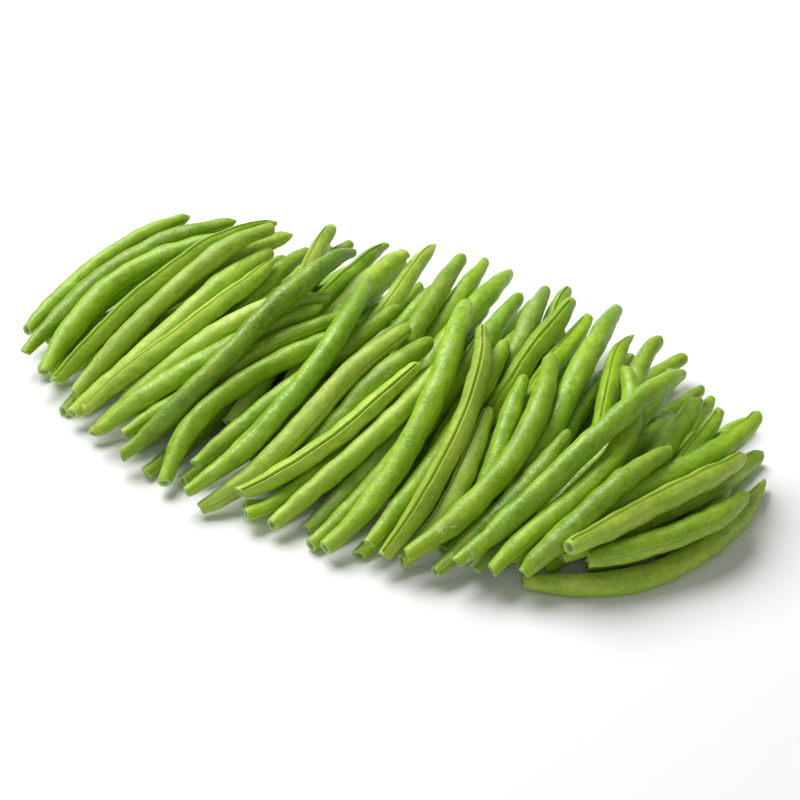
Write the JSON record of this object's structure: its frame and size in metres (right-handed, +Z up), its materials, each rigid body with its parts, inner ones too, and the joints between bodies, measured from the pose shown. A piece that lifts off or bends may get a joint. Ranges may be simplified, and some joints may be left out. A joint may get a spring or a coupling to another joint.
{
  "type": "green bean bundle",
  "caption": "Oval heap of trimmed green beans lying side by side, resting on its own flat spots, for kitchens, plates and food displays.",
  "frame": {"origin": "on the surface that the heap lies on, under the middle of its bounding box", "axes": "+X along the heap's long side, across most pods; +Y from the pods' front ends to their back ends; +Z up"},
  "size_m": [0.3226, 0.1861, 0.0532],
  "materials": {
    "pale_pod": "satin pale yellow-green pod skin with fine lengthwise fibres",
    "bright_pod": "satin bright green pod skin",
    "green_pod": "semi-gloss mid green pod skin",
    "dark_pod": "glossy dark green pod skin with fine flecks across it",
    "dusky_pod": "satin grey-green pod skin",
    "shaded_pod": "satin green skin of the pods lower in the heap"
  },
  "bodies": {
    "root": {"handful_01": "shaded_pod", "handful_02": "shaded_pod", "handful_03": "shaded_pod", "handful_04": "shaded_pod", "handful_05": "shaded_pod", "handful_06": "shaded_pod", "handful_07": "shaded_pod", "handful_08": "shaded_pod", "handful_09": "shaded_pod", "handful_10": "shaded_pod", "bean_01": "green_pod", "bean_02": "green_pod", "bean_03": "green_pod", "bean_04": "pale_pod", "bean_05": "pale_pod", "bean_06": "bright_pod", "bean_07": "dark_pod", "bean_08": "dusky_pod", "bean_09": "bright_pod", "bean_10": "dark_pod", "bean_11": "bright_pod", "bean_12": "pale_pod", "bean_13": "bright_pod", "bean_14": "green_pod", "bean_15": "bright_pod", "bean_16": "bright_pod", "bean_17": "pale_pod", "bean_18": "pale_pod", "bean_19": "bright_pod", "bean_20": "bright_pod", "bean_21": "pale_pod", "bean_22": "pale_pod", "bean_23": "bright_pod", "bean_24": "green_pod", "bean_25": "pale_pod", "bean_26": "green_pod", "bean_27": "bright_pod", "bean_28": "dusky_pod", "bean_29": "pale_pod", "bean_30": "pale_pod", "bean_31": "pale_pod", "bean_32": "green_pod", "bean_33": "bright_pod", "bean_34": "bright_pod", "bean_35": "pale_pod", "bean_36": "dark_pod", "bean_37": "dark_pod", "bean_38": "bright_pod", "bean_39": "green_pod", "bean_40": "green_pod", "bean_41": "pale_pod", "bean_42": "bright_pod", "bean_43": "green_pod", "bean_44": "pale_pod", "bean_45": "dark_pod", "bean_46": "dark_pod", "bean_47": "green_pod", "bean_48": "pale_pod", "bean_49": "bright_pod", "bean_50": "dark_pod"}
  },
  "joints": []
}
